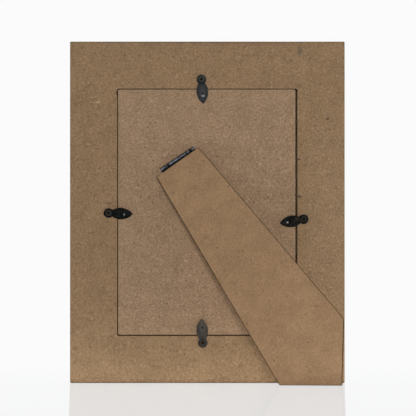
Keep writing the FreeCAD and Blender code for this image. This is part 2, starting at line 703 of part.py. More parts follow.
for side, (point_x, point_y) in pivots.items():
    pivot = panel_place.multiply(Placement(
        Vector(point_x, point_y, 0), Rotation(Vector(0, 0, 1), size[side + "_button_angle"])))
    finish(turn_button(side), "turn_button_" + side, pivot)
    finish(button_screw(side), "button_screw_" + side, pivot)


# Rebuild, check every object, and write each sub-part.

doc.recompute()
for item in doc.Objects:
    if "Invalid" in item.State or "Error" in item.State:
        raise RuntimeError("%s failed to rebuild: %s" % (item.Name, item.State))
os.makedirs("parts", exist_ok=True)
for piece in nodes:
    if piece.Shape.isNull() or not piece.Shape.isValid():
        raise RuntimeError(piece.Label + " has no valid shape")
    if len(piece.Shape.Solids) != 1:
        raise RuntimeError("%s has %d solids" % (piece.Label, len(piece.Shape.Solids)))
for piece in nodes:
    piece.Shape.exportStep("parts/%s.step" % piece.Label)
    box = piece.Shape.BoundBox
    print("%-20s %9.1f mm3  x %7.2f %7.2f  y %7.2f %7.2f  z %7.2f %7.2f" % (
        piece.Label, piece.Shape.Volume, box.XMin, box.XMax, box.YMin, box.YMax, box.ZMin, box.ZMax))
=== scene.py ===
import json
import math

import bpy
from mathutils import Matrix, Vector


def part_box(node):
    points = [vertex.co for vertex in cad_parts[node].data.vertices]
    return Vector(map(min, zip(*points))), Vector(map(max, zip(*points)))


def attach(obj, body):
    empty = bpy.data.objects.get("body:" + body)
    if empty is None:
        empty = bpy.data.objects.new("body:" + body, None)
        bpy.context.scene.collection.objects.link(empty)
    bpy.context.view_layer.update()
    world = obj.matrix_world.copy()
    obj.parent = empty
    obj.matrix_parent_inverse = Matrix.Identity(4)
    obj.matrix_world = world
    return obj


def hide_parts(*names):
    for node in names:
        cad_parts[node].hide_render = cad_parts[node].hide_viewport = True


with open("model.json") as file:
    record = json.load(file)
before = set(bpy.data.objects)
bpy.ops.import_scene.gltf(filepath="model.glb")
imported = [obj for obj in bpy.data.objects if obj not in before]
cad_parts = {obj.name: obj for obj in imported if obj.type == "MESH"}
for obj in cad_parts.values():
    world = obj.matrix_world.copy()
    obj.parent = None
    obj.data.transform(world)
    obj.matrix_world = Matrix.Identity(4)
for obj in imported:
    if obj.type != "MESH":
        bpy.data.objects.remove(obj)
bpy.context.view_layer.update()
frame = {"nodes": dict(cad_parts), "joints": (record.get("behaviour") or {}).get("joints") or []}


# Table and backdrop: a glossy white board in front of an evenly lit white sweep. The board keeps
# the frame's shadow and its faint reflection, and fades into the sweep further off.

TABLE_SIZE = 8.0
TABLE_WHITE = (0.95, 0.95, 0.95, 1)
TABLE_GLOSS = (0.98, 0.99, 1.0, 1)
TABLE_ROUGHNESS = 0.03
TABLE_IOR = 1.5  # the glancing view makes it a mirror, and from above it is nearly matt
PLAIN_WHITE = (1, 1, 1, 1)
SWEEP_STRENGTH = 0.965
NEAR_SWEEP_SHARE = 0.68  # how much of the sweep's even white the table shows beside the frame
FADE_START = 0.5
FADE_END = 1.4
ROOM_WHITE = 1.0  # light from in front of the picture
ROOM_DIM = 0.0  # light from the side of the camera, where the lamps stand
ROOM_TURN = 0.1  # how far either side of straight up the one passes into the other


def add_node(tree, kind, **settings):
    """A node of that kind: numbers and colours go to its sockets, words to its properties."""
    node = tree.nodes.new("ShaderNode" + kind)
    for name, value in settings.items():
        if hasattr(node, name) and not name[0].isupper():
            setattr(node, name, value)
        else:
            node.inputs[name.replace("_", " ")].default_value = value
    return node


def link(tree, source, target, output=0, input=0):
    """Joins two nodes and returns the second."""
    tree.links.new(source.outputs[output], target.inputs[input])
    return target


def ramp(tree, source, low, high, at_low=0.0, at_high=1.0, output=0):
    """A clamped straight slope from one range of a value to another."""
    slope = add_node(tree, "MapRange", clamp=True)
    for index, value in enumerate((low, high, at_low, at_high), start=1):
        slope.inputs[index].default_value = value
    return link(tree, source, slope, output)


def arithmetic(tree, operation, one, other):
    """Two values put together; either may be a plain number."""
    node = add_node(tree, "Math", operation=operation)
    for index, item in enumerate((one, other)):
        if isinstance(item, (int, float)):
            node.inputs[index].default_value = item
        else:
            link(tree, item, node, 0, index)
    return node


def new_material(name):
    """An empty material, its tree and its output."""
    material = bpy.data.materials.new(name)
    material.use_nodes = True
    material.node_tree.nodes.clear()
    return material, material.node_tree, material.node_tree.nodes.new("ShaderNodeOutputMaterial")


def seen_directly(tree):
    """One for what the camera sees, straight or by way of metal and glass, and nought for light."""
    path = add_node(tree, "LightPath")
    seen = link(tree, path, add_node(tree, "Math", operation="MAXIMUM"), "Is Camera Ray")
    link(tree, path, seen, "Is Glossy Ray", 1)
    both = link(tree, seen, add_node(tree, "Math", operation="MAXIMUM"))
    link(tree, path, both, "Is Transmission Ray", 1)
    return both


def mixed(tree, factor, one, other):
    """Two shaders mixed by the value of a node."""
    node = link(tree, factor, add_node(tree, "MixShader"))
    link(tree, one, node, 0, 1)
    return link(tree, other, node, 0, 2)


bpy.ops.object.select_all(action="DESELECT")
bpy.ops.mesh.primitive_plane_add(size=TABLE_SIZE)
table = bpy.context.object
table.name = "table_top"
table_white, tree, output = new_material("table_white")
matt = add_node(tree, "BsdfDiffuse", Color=TABLE_WHITE)
gloss = add_node(tree, "BsdfGlossy", Color=TABLE_GLOSS, Roughness=TABLE_ROUGHNESS)
even = add_node(tree, "Emission", Color=PLAIN_WHITE, Strength=SWEEP_STRENGTH)
from_frame = link(tree, add_node(tree, "TexCoord"), add_node(tree, "VectorMath", operation="LENGTH"),
                  "Object")
fade = ramp(tree, from_frame, FADE_START, FADE_END, NEAR_SWEEP_SHARE, 1.0, "Value")
share = arithmetic(tree, "MULTIPLY", fade, seen_directly(tree))
lit = mixed(tree, add_node(tree, "Fresnel", IOR=TABLE_IOR), matt, gloss)
link(tree, mixed(tree, share, lit, even), output)
table.data.materials.append(table_white)

world = bpy.data.worlds.new("studio")
bpy.context.scene.world = world
world.use_nodes = True
tree = world.node_tree
tree.nodes.clear()
output = add_node(tree, "OutputWorld")
direction = link(tree, add_node(tree, "TexCoord"), add_node(tree, "SeparateXYZ"), "Generated")
room = add_node(tree, "Background", Color=PLAIN_WHITE)
brightness = ramp(tree, direction, -ROOM_TURN, ROOM_TURN, ROOM_WHITE, ROOM_DIM, "Y")
link(tree, brightness, room, 0, "Strength")
sweep = add_node(tree, "Background", Color=PLAIN_WHITE, Strength=SWEEP_STRENGTH)
link(tree, mixed(tree, seen_directly(tree), room, sweep), output)


# Camera: square to the frame's back, which is why its sides stand parallel in the picture. The frame
# leans on its leg, so places on it are given in millimetres in the axes of that back: across to the
# right as seen from behind, up, and out of the back.

MM = 0.001
joint_of = {joint["name"]: joint for joint in frame["joints"]}
ACROSS = Vector((-1, 0, 0))
OUT = Vector(joint_of["button_top_turn"]["axis"]).normalized()
UP = OUT.cross(ACROSS)
bottom_pivot = Vector(joint_of["button_bottom_turn"]["pos_m"])
BACK_ORIGIN = bottom_pivot - UP * (bottom_pivot.z / UP.z)
BACK_ORIGIN.x = 0
CAMERA_DISTANCE = 850.0
CAMERA_ACROSS = 0.47
CAMERA_UP = 127.5
CAMERA_REACH = TABLE_SIZE * 10
PICTURE_SCALE = 1.3732  # picture pixels per millimetre on the back
PICTURE_WIDTH = 416


def on_back(across, up, out=0.0):
    """The place in the room of a point given in millimetres on the frame's back."""
    return BACK_ORIGIN + (ACROSS * across + UP * up + OUT * out) * MM


bpy.ops.object.camera_add()
camera = bpy.context.object
camera.data.lens = camera.data.sensor_width * PICTURE_SCALE * CAMERA_DISTANCE / PICTURE_WIDTH
turn = Matrix((ACROSS, UP, OUT)).transposed().to_4x4()
camera.matrix_world = Matrix.Translation(on_back(CAMERA_ACROSS, CAMERA_UP, CAMERA_DISTANCE)) @ turn
camera.data.clip_end = CAMERA_REACH
bpy.context.scene.camera = camera
bpy.context.scene.view_settings.view_transform = "Standard"


# Lamps: a soft box close to the lens, whose shadows almost hide behind what casts them, a weak one on
# the right, and two flat ones on the table, for the light that a white table throws up at the foot of
# the back and the leg.

# Each lamp's name, place, width and height, all in metres, and its power in watts.
SOFT_BOXES = (
    ("lamp_main", (-0.03, 1.5, 0.12), 0.22, 0.2, 10.2),
    ("lamp_fill", (-0.9, 0.5, 0.17), 0.4, 0.3, 1.3),
)
TABLE_BOXES = (
    ("lamp_under_back", (0.0, -0.0065, 0.0003), 0.6, 0.045, 0.095),
    ("lamp_by_leg", (-0.065, 0.08, 0.0003), 0.12, 0.062, 0.017),
)
LIT_HEIGHT = 120.0  # of the place on the back that the soft boxes face


def soft_box(name, place, target, width, height, power):
    """A rectangular lamp at a place, turned to face a target, itself never seen or mirrored."""
    bpy.ops.object.light_add(type="AREA", location=place)
    lamp = bpy.context.object
    lamp.name = name
    lamp.data.shape = "RECTANGLE"
    lamp.data.size = width
    lamp.data.size_y = height
    lamp.data.energy = power
    lamp.rotation_euler = (target - place).to_track_quat("-Z", "Y").to_euler()
    lamp.visible_camera = False
    lamp.visible_glossy = False


for name, place, width, height, power in SOFT_BOXES:
    soft_box(name, Vector(place), on_back(0, LIT_HEIGHT), width, height, power)
for name, place, width, depth, power in TABLE_BOXES:
    soft_box(name, Vector(place), Vector(place) + Vector((0, 0, 1)), width, depth, power)


# Back ring: one piece of medium-density fibreboard with the window sawn out. Its faces are bare and
# sanded, its sawn edges darker, and its arrises only just broken.

FIBREBOARD_ROUGHNESS = 0.82
FIBREBOARD_SHINE = 0.2
PALE_FIBRE_SHARES = (1.45, 1.55, 1.7)
BARK_SHARES = (0.55, 0.52, 0.5)
# How fine each pattern of the board is, and between which of its values it comes in.
CLOUD_SCALE, CLOUD_DETAIL, CLOUD_RANGE = 85, 2, (0.34, 0.66)
GRAIN_SCALE, GRAIN_DETAIL, GRAIN_ROUGHNESS = 760, 3, 0.8
PALE_GRAIN_RANGE = (0.52, 0.74)
DARK_GRAIN_RANGE = (0.48, 0.28)
FIBRE_SCALE, FIBRE_DETAIL, FIBRE_CURL = 210, 1.5, 1.2
FIBRE_MIDDLE, FIBRE_REACH = 0.5, 0.035
BREAK_SCALE, BREAK_DETAIL, BREAK_RANGE = 330, 1, (0.57, 0.63)
FLECK_SCALE, FLECK_CHANCE, FLECK_SIZE, FLECK_STRENGTH = 300, (0.72, 0.76), (0.1, 0.3), 0.75
MARK_CORE_SHARE = 0.35  # of a mark's reach, within which it has its full strength
COLOUR_BELOW, COLOUR_OVER, COLOUR_OUT = 6, 7, 2  # the colour sockets of a Mix node


def times(colour, factors):
    """A colour with its channels multiplied, by one factor or by a factor each."""
    if isinstance(factors, float):
        factors = (factors,) * len(colour)
    return tuple(channel * factor for channel, factor in zip(colour, factors))


def two_tone(tree, mask, one, other):
    """A colour that passes from one to the other as the mask gets white."""
    node = link(tree, mask, add_node(tree, "Mix", data_type="RGBA"), 0, "Factor")
    node.inputs[COLOUR_BELOW].default_value = (*one, 1)
    node.inputs[COLOUR_OVER].default_value = (*other, 1)
    return node


def tint(tree, below, mask, colour, blend="MIX"):
    """A colour laid over another where the mask is white."""
    node = two_tone(tree, mask, colour, colour)
    node.blend_type = blend
    return link(tree, below, node, COLOUR_OUT, COLOUR_BELOW)


def noise(tree, place, scale, detail, roughness=0.5, distortion=0.0):
    """A cloudy pattern that stays with the piece."""
    texture = add_node(tree, "TexNoise", Scale=scale, Detail=detail, Roughness=roughness,
                       Distortion=distortion)
    return link(tree, place, texture, "Object", "Vector")


def relieved(tree, surface, pattern, strength, depth):
    """Gives a surface a fine relief, whose depth is in millimetres."""
    bump = add_node(tree, "Bump", Strength=strength, Distance=depth * MM)
    link(tree, pattern, bump, 0, "Height")
    link(tree, bump, surface, 0, "Normal")


def marked(tree, place, below, marks, blend="MIX"):
    """Soft round marks laid over a colour: across and up, half width, half height, strength, colour."""
    for across, up, half_width, half_height, strength, mark_colour in marks:
        offset = link(tree, place, add_node(tree, "VectorMath", operation="SUBTRACT"), "Object")
        offset.inputs[1].default_value = on_back(across, up)
        scaled = link(tree, offset, add_node(tree, "VectorMath", operation="MULTIPLY"))
        scaled.inputs[1].default_value = (1 / (half_width * MM), 0, 1 / (half_height * MM))
        reach = link(tree, scaled, add_node(tree, "VectorMath", operation="LENGTH"))
        mask = ramp(tree, reach, MARK_CORE_SHARE, 1.0, strength, 0, "Value")
        below = tint(tree, below, mask, mark_colour, blend)
    return below


def fibreboard(name, colour, mottle=0.08, grain_depth=1.0, fibre_strength=0.9, marks=(), painted_lights=()):
    """Sanded fibreboard: soft mottling, fine grain, short pale fibres and dark flecks of bark.

    The colour of a painted light multiplies the board's own, to paint a place brighter as if it were
    better lit."""
    material, tree, output = new_material(name)
    surface = add_node(tree, "BsdfPrincipled", Roughness=FIBREBOARD_ROUGHNESS,
                       Specular_IOR_Level=FIBREBOARD_SHINE)
    place = add_node(tree, "TexCoord")
    pale = times(colour, PALE_FIBRE_SHARES)
    bark = times(colour, BARK_SHARES)

    cloud = ramp(tree, noise(tree, place, CLOUD_SCALE, CLOUD_DETAIL), *CLOUD_RANGE)
    blend = two_tone(tree, cloud, times(colour, 1 - mottle), times(colour, 1 + mottle))
    grain = noise(tree, place, GRAIN_SCALE, GRAIN_DETAIL, GRAIN_ROUGHNESS)
    blend = tint(tree, blend, ramp(tree, grain, *PALE_GRAIN_RANGE, 0, grain_depth), pale)
    blend = tint(tree, blend, ramp(tree, grain, *DARK_GRAIN_RANGE, 0, grain_depth), bark)

    # A fibre lies where a smooth field passes through its middle value, which is a thin curve.
    field = noise(tree, place, FIBRE_SCALE, FIBRE_DETAIL, distortion=FIBRE_CURL)
    from_middle = arithmetic(tree, "ABSOLUTE", arithmetic(tree, "SUBTRACT", field, FIBRE_MIDDLE), 0)
    curve = ramp(tree, from_middle, 0, FIBRE_REACH, fibre_strength, 0)
    broken = ramp(tree, noise(tree, place, BREAK_SCALE, BREAK_DETAIL), *BREAK_RANGE)
    blend = tint(tree, blend, arithmetic(tree, "MULTIPLY", curve, broken), pale)

    cells = link(tree, place, add_node(tree, "TexVoronoi", Scale=FLECK_SCALE), "Object", "Vector")
    chance = ramp(tree, cells, *FLECK_CHANCE, output="Color")
    fleck = ramp(tree, cells, *FLECK_SIZE, FLECK_STRENGTH, 0, output="Distance")
    blend = tint(tree, blend, arithmetic(tree, "MULTIPLY", fleck, chance), bark)

    blend = marked(tree, place, blend, painted_lights, "MULTIPLY")
    blend = marked(tree, place, blend, marks)
    link(tree, blend, surface, COLOUR_OUT, "Base Color")
    relieved(tree, surface, grain, strength=0.2, depth=0.2)
    link(tree, surface, output)
    return material


SAWN_SHARES = (0.32, 0.29, 0.25)
SAWN_MOTTLE = 0.12
SAWN_GRAIN_DEPTH = 0.5


def sawn(name, colour, shares=SAWN_SHARES):
    """The darker, scorched look that a saw leaves on the edges of the same board."""
    return fibreboard(name, times(colour, shares), SAWN_MOTTLE, SAWN_GRAIN_DEPTH)


SMALL_HOLE_SHARE = 0.1  # of a piece's length; the rims of smaller holes stay sharp
SHARP_ANGLE = math.radians(30)
FLAT_ANGLE = math.radians(0.5)
WELD_DISTANCE = 0.001
ARRIS_SEGMENTS = 3
FACE, SIDE = 0, 1  # the materials of a flat piece
FACE_COSINE = 0.99
SIDE_COSINE = 0.05


def flattest_direction(mesh):
    """The direction that the largest faces of a flat piece look in."""
    return max(mesh.polygons, key=lambda face: face.area).normal.copy()


def arrises(mesh):
    """The selected edges that join up to an outline, and not to the rim of a small hole."""
    groups = []
    for edge in (edge for edge in mesh.edges if edge.select):
        ends, members, apart = set(edge.vertices), [edge], []
        for group_ends, group_members in groups:
            if ends & group_ends:
                ends |= group_ends
                members += group_members
            else:
                apart.append((group_ends, group_members))
        groups = [*apart, (ends, members)]

    def spread(indices):
        places = [mesh.vertices[index].co for index in indices]
        return max(max(place[axis] for place in places) - min(place[axis] for place in places)
                   for axis in range(3))

    least = spread(range(len(mesh.vertices))) * SMALL_HOLE_SHARE
    return [edge for ends, members in groups if spread(ends) > least for edge in members]


def softened(node, name, arris, materials, clamp=True):
    """A copy of a CAD solid with its arrises rounded. It takes the solid's place.

    Of two or three materials, the second goes on the sides of a flat piece and the last on its
    arrises. Without the clamp, small faces nearby don't make an arris narrower."""
    bpy.ops.object.select_all(action="DESELECT")
    piece = bpy.data.objects.new(name, frame["nodes"][node].data.copy())
    bpy.context.collection.objects.link(piece)
    piece.data.materials.clear()
    for material in materials:
        piece.data.materials.append(material)
    bpy.context.view_layer.objects.active = piece
    piece.select_set(True)
    bpy.ops.mesh.customdata_custom_splitnormals_clear()
    bpy.ops.object.mode_set(mode="EDIT")
    bpy.ops.mesh.select_all(action="SELECT")
    bpy.ops.mesh.remove_doubles(threshold=WELD_DISTANCE * MM)
    bpy.ops.mesh.dissolve_limited(angle_limit=FLAT_ANGLE)
    bpy.ops.mesh.select_mode(type="EDGE")
    bpy.ops.mesh.select_all(action="DESELECT")
    bpy.ops.mesh.edges_select_sharp(sharpness=SHARP_ANGLE)
    bpy.ops.object.mode_set(mode="OBJECT")
    direction = flattest_direction(piece.data)
    weights = piece.data.attributes.new("bevel_weight_edge", "FLOAT", "EDGE")
    for edge in arrises(piece.data):
        weights.data[edge.index].value = 1
    bevel = piece.modifiers.new("arris", "BEVEL")
    bevel.width = arris * MM
    bevel.segments = ARRIS_SEGMENTS
    bevel.limit_method = "WEIGHT"
    bevel.use_clamp_overlap = clamp
    bpy.ops.object.modifier_apply(modifier=bevel.name)
    if len(materials) > 1:
        for face in piece.data.polygons:
            towards = abs(face.normal.dot(direction))
            if towards > FACE_COSINE:
                face.material_index = FACE
            elif towards < SIDE_COSINE:
                face.material_index = SIDE
            else:
                face.material_index = len(materials) - 1
    bpy.ops.object.shade_smooth_by_angle(angle=SHARP_ANGLE)
    flat_faces = piece.modifiers.new("flat_faces", "WEIGHTED_NORMAL")
    flat_faces.keep_sharp = True
    bpy.ops.object.modifier_apply(modifier=flat_faces.name)
    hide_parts(node)
    return piece


def across_and_up(point):
    """Where a point of the room lies on the back, in millimetres."""
    return (point - BACK_ORIGIN).dot(ACROSS) / MM, (point - BACK_ORIGIN).dot(UP) / MM


RING_BROWN = (0.27, 0.1745, 0.0955)
SANDED_SHARES = (0.66, 0.62, 0.57)
RING_ARRIS = 0.3
OUTER_EDGE_DEPTH = 3.0  # from the outline, within which a side is an outer one
OUTER_SIDE = 2  # the third material of the ring
PAINTED_LIT_WALL_COSINE = 0.5
DARK_MARK = (0.085, 0.06, 0.04)
GREY_MARK = (0.14, 0.115, 0.085)
RED_MARK = (0.235, 0.14, 0.078)
PALE_MARK = (0.46, 0.34, 0.18)
RING_PAINTED_LIGHT = (88.0, 80.0, 24.0, 140.0, 1.0, (1.1, 1.12, 1.15))  # painted light: the right rail painted paler, as if lit more from the right
# Spots and nicks, a greyish stain on the right of the top rail, and a line of painted shade along the
# top edge, where its rounded arris faces up into dimmer light.
RING_MARKS = (
    (66.6, 162.9, 1.9, 0.9, 1.0, DARK_MARK),
    (67.2, 135.8, 1.9, 1.2, 1.0, DARK_MARK),
    (87.6, 192.5, 1.4, 1.2, 1.0, DARK_MARK),
    (67.3, 241.5, 2.2, 4.5, 0.75, GREY_MARK),
    (-72.8, 130.9, 1.3, 1.1, 0.6, DARK_MARK),
    (-70.7, 131.0, 1.3, 1.1, 0.6, DARK_MARK),
    (-66.0, 211.4, 1.0, 2.2, 1.0, DARK_MARK),
    (-79.5, 204.5, 1.9, 0.9, 0.9, PALE_MARK),
    (45.0, 246.7, 48.0, 1.9, 0.55, RED_MARK),
    # painted shade along the top edge
    (0.0, 248.6, 170.0, 1.0, 0.85, DARK_MARK),
)
ring_face = fibreboard("ring_fibreboard", RING_BROWN, marks=RING_MARKS, painted_lights=[RING_PAINTED_LIGHT])
window_edge = sawn("ring_sawn_window", RING_BROWN)
outer_edge = sawn("ring_sanded_side", RING_BROWN, SANDED_SHARES)
ring_piece = softened("back_ring", "back_ring_board", RING_ARRIS, [ring_face, window_edge], clamp=False)
ring_piece.data.materials.append(outer_edge)
low, high = (Vector(corner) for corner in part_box("back_ring"))
half_width = (high.x - low.x) / 2 / MM
height = across_and_up(high)[1]
for face in ring_piece.data.polygons:
    across, up = across_and_up(face.center)
    inset = min(half_width - abs(across), up, height - up)
    on_arris = abs(face.normal.dot(OUT)) > SIDE_COSINE
    # Painted light: the window's left and bottom walls are as pale as the face, so that the narrow gaps
    # there look lit.
    painted_lit_wall = face.normal.dot(ACROSS + UP) > PAINTED_LIT_WALL_COSINE
    if face.material_index == SIDE and inset < OUTER_EDGE_DEPTH:
        face.material_index = OUTER_SIDE
    elif face.material_index == SIDE and (on_arris or painted_lit_wall):
        face.material_index = FACE
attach(ring_piece, "moulding")


# Backing board: thinner and pinker fibreboard that drops into the window. Its arrises are paler than
# its faces.

BOARD_BROWN = (0.307, 0.202, 0.122)
PALE_ARRIS_SHARES = (1.3, 1.32, 1.32)
BOARD_ARRIS = 0.4
board_materials = [
    fibreboard("backing_fibreboard", BOARD_BROWN),
    sawn("backing_sawn_edge", BOARD_BROWN),
    fibreboard("backing_pale_arris", times(BOARD_BROWN, PALE_ARRIS_SHARES)),
]
board_piece = softened("backing_board", "backing_board_panel", BOARD_ARRIS, board_materials)
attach(board_piece, "moulding")


# Easel leg: the same thin fibreboard, a little more orange, cut to a taper. No screw holds it: the
# teeth of its hinge leaf are driven into it.

LEG_BROWN = (0.35, 0.218, 0.12)
# The leg's sawn edges are darker than the ring's: part sawn edge, part painted shade for the shadow
# line beside the leg.
LEG_SAWN_AND_SHADE_SHARES = (0.19, 0.17, 0.145)
LEG_ARRIS = 0.45
FOOT_BAND = 1.0  # above the table, within which the cut gets the face's pale colour: painted light on the foot's shaded edge
leg_face = fibreboard("leg_fibreboard", LEG_BROWN, grain_depth=0.55, fibre_strength=0.6)
leg_edge = sawn("leg_sawn_and_shaded_edge", LEG_BROWN, LEG_SAWN_AND_SHADE_SHARES)
leg_piece = softened("easel_leg", "easel_leg_board", LEG_ARRIS, [leg_face, leg_edge])
for face in leg_piece.data.polygons:
    if face.center.z < FOOT_BAND * MM:
        face.material_index = FACE
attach(leg_piece, "leg")


# Hinge: two stamped leaves of black steel with their knuckles rolled round a pin. The barrel has a
# painted highlight along its back.

FINISH_SCALE, FINISH_DETAIL, FINISH_RANGE = 420, 3, (0.35, 0.65)
PIT_SCALE, PIT_DETAIL = 1500, 3
HIGHLIGHT_CORE_SHARE = 0.25  # of a highlight line's half width, within which the painted highlight is at its brightest
PATCHY_RANGE = (0.38, 0.6)
LEAST_HIGHLIGHT = 0.2


def distance_along(tree, place, point, axis):
    """How far a place lies from a point along an axis, whichever way."""
    offset = link(tree, place, add_node(tree, "VectorMath", operation="SUBTRACT"), "Object")
    offset.inputs[1].default_value = point
    along = link(tree, offset, add_node(tree, "VectorMath", operation="DOT_PRODUCT"))
    along.inputs[1].default_value = axis
    return link(tree, along, add_node(tree, "Math", operation="ABSOLUTE"), "Value")


def dark_steel(name, colour, roughness, metallic=0.0, specular=0.5, edge=1.0, mottle=0.22,
               marks=(), highlight_line=None):
    """Steel with a thin black finish, marks of use, and painted shade and highlights.

    A highlight line is a painted highlight along a line: a point of it, the direction across it, its
    half width and its colour."""
    material, tree, output = new_material(name)
    surface = add_node(tree, "BsdfPrincipled", Roughness=roughness, Metallic=metallic,
                       Specular_IOR_Level=specular, Specular_Tint=(edge, edge, edge, 1))
    place = add_node(tree, "TexCoord")
    cloud = noise(tree, place, FINISH_SCALE, FINISH_DETAIL)
    blend = two_tone(tree, ramp(tree, cloud, *FINISH_RANGE), times(colour, 1 - mottle),
                     times(colour, 1 + mottle))
    if highlight_line:
        point, sideways, half_width, metal = highlight_line
        off_line = distance_along(tree, place, point, sideways)
        highlit = ramp(tree, off_line, half_width * HIGHLIGHT_CORE_SHARE, half_width, 1, 0)
        patchy = ramp(tree, cloud, *PATCHY_RANGE, LEAST_HIGHLIGHT, 1)
        blend = tint(tree, blend, arithmetic(tree, "MULTIPLY", highlit, patchy), metal)
    blend = marked(tree, place, blend, marks)
    link(tree, blend, surface, COLOUR_OUT, "Base Color")
    relieved(tree, surface, noise(tree, place, PIT_SCALE, PIT_DETAIL), strength=0.15, depth=0.1)
    link(tree, surface, output)
    return material


HINGE_STEEL = (0.009, 0.01, 0.012)
# the colour of the painted highlight along the barrel
HIGHLIGHT_STEEL = (0.24, 0.26, 0.3)
PIN_STEEL = (0.3, 0.31, 0.33)
STEEL_ROUGHNESS = 0.35
HIGHLIGHT_HALF_WIDTH = 1.0
LEAF_ARRIS = 0.12
# Painted shade in gaps and hollows, and the darker heads of the upper and lower buttons.
SHADE_AND_HEAD_BLACK = (0.006, 0.006, 0.007)
# Painted shade in the gaps between the knuckles of the barrel.
HINGE_GAP_SHADE = (
    (-27.9, 157.9, 1.6, 1.6, 0.95, SHADE_AND_HEAD_BLACK),
    (-15.3, 166.9, 1.3, 1.3, 0.95, SHADE_AND_HEAD_BLACK),
    (-12.2, 169.0, 1.3, 1.3, 0.95, SHADE_AND_HEAD_BLACK),
)
hinge = joint_of["leg_hinge"]
hinge_sideways = OUT.cross(Vector(hinge["axis"])).normalized()
hinge_highlight = (Vector(hinge["pos_m"]), hinge_sideways, HIGHLIGHT_HALF_WIDTH * MM, HIGHLIGHT_STEEL)
hinge_black = dark_steel("hinge_black", HINGE_STEEL, STEEL_ROUGHNESS, metallic=0.6, edge=0.15,
                         marks=HINGE_GAP_SHADE, highlight_line=hinge_highlight)
for node, name, body in (
    ("hinge_board_leaf", "hinge_leaf_on_board", "moulding"),
    ("hinge_leg_leaf", "hinge_leaf_on_leg", "leg"),
):
    leaf = softened(node, name, LEAF_ARRIS, [hinge_black])
    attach(leaf, body)
hinge_pin = frame["nodes"]["hinge_pin"]
hinge_pin.data.materials.clear()
hinge_pin.data.materials.append(dark_steel("pin_steel", PIN_STEEL, STEEL_ROUGHNESS, metallic=1.0))


# Turn buttons: leaves of thin steel, stamped to a vault with one dimple, dipped in flat black. The
# upper and lower ones have gone grey and carry a painted sheen down the vault, and the dimples, rubbed
# bare where a thumb presses, have painted highlights and painted shade.

FRESH_BLACK = (0.006, 0.006, 0.0058)
DUSTY_BLACK = (0.0095, 0.0092, 0.0085)
WORN_BLACK = (0.033, 0.035, 0.037)
WORN_BROWN = (0.05, 0.046, 0.04)
# painted shade in the dimples
DIMPLE_SHADE = (0.0012, 0.0012, 0.0012)
# painted sheen down the middle of the vault of the upper and lower buttons
SHEEN_GREY = (0.065, 0.065, 0.067)
SHEEN_BROWN = (0.095, 0.084, 0.072)
NECK_RUST = (0.034, 0.027, 0.018)
# painted highlight in the dimples, which are rubbed bare
BARE_DIMPLE_HIGHLIGHT = (0.36, 0.37, 0.39)
DIMPLE_RED = (0.03, 0.012, 0.01)
BUTTON_ROUGHNESS = 0.5
BUTTON_SHINE = 0.05
BUTTON_ARRIS = 0.15
# Each button's colour, how mottled it is, and its marks: darker heads, rust, reddish spots, and painted
# sheen, shade and highlights.
BUTTONS = {
    "top": (WORN_BLACK, 0.22, (
        (-3.5, 211.5, 3.2, 6.5, 0.6, SHEEN_GREY),
        (-4.3, 219.8, 3.6, 3.6, 0.9, SHADE_AND_HEAD_BLACK),
        (-3.5, 211.0, 0.8, 0.8, 0.95, SHADE_AND_HEAD_BLACK),
        (-2.8, 208.9, 1.1, 0.9, 0.9, BARE_DIMPLE_HIGHLIGHT),
        (-4.0, 208.9, 0.8, 0.7, 0.4, BARE_DIMPLE_HIGHLIGHT),
    )),
    "left": (FRESH_BLACK, 0.8, (
        (-61.5, 123.2, 1.2, 1.6, 0.8, DIMPLE_SHADE),
        (-60.5, 122.6, 0.85, 1.15, 0.55, BARE_DIMPLE_HIGHLIGHT),
    )),
    "right": (DUSTY_BLACK, 0.6, (
        (65.3, 119.4, 2.4, 1.8, 0.8, NECK_RUST),
        (60.0, 117.2, 1.3, 1.5, 0.8, DIMPLE_SHADE),
        (58.3, 116.9, 1.0, 1.0, 0.85, BARE_DIMPLE_HIGHLIGHT),
    )),
    "bottom": (WORN_BROWN, 0.22, (
        (-3.4, 42.0, 3.4, 8.5, 0.6, SHEEN_BROWN),
        (-3.3, 29.1, 3.6, 3.6, 0.7, SHADE_AND_HEAD_BLACK),
        (-3.4, 40.3, 1.1, 1.1, 0.9, DIMPLE_RED),
        (-3.5, 34.0, 0.9, 0.9, 0.6, DIMPLE_RED),
    )),
}
for side, (button_colour, mottle, button_marks) in BUTTONS.items():
    finish = dark_steel("button_black_" + side, button_colour, BUTTON_ROUGHNESS, specular=BUTTON_SHINE,
                        mottle=mottle, marks=button_marks)
    button = softened("turn_button_" + side, "stamped_button_" + side, BUTTON_ARRIS, [finish])
    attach(button, "button_" + side)


# Button screws: small black wood screws with a domed head and a cross recess, rusty inside. The head
# has a painted highlight in a ring round the recess, and is darker in the middle.

HEAD_BLACK = (0.008, 0.008, 0.008)
HEAD_ROUGHNESS = 0.45
HEAD_SHINE = 0.15
# painted highlight in a ring round the recess
HEAD_HIGHLIGHT = {"top": (0.1, 0.1, 0.095), "bottom": (0.085, 0.078, 0.06),
               "left": (0.054, 0.046, 0.032), "right": (0.03, 0.025, 0.018)}
HEAD_HIGHLIGHT_RADIUS = 2.6
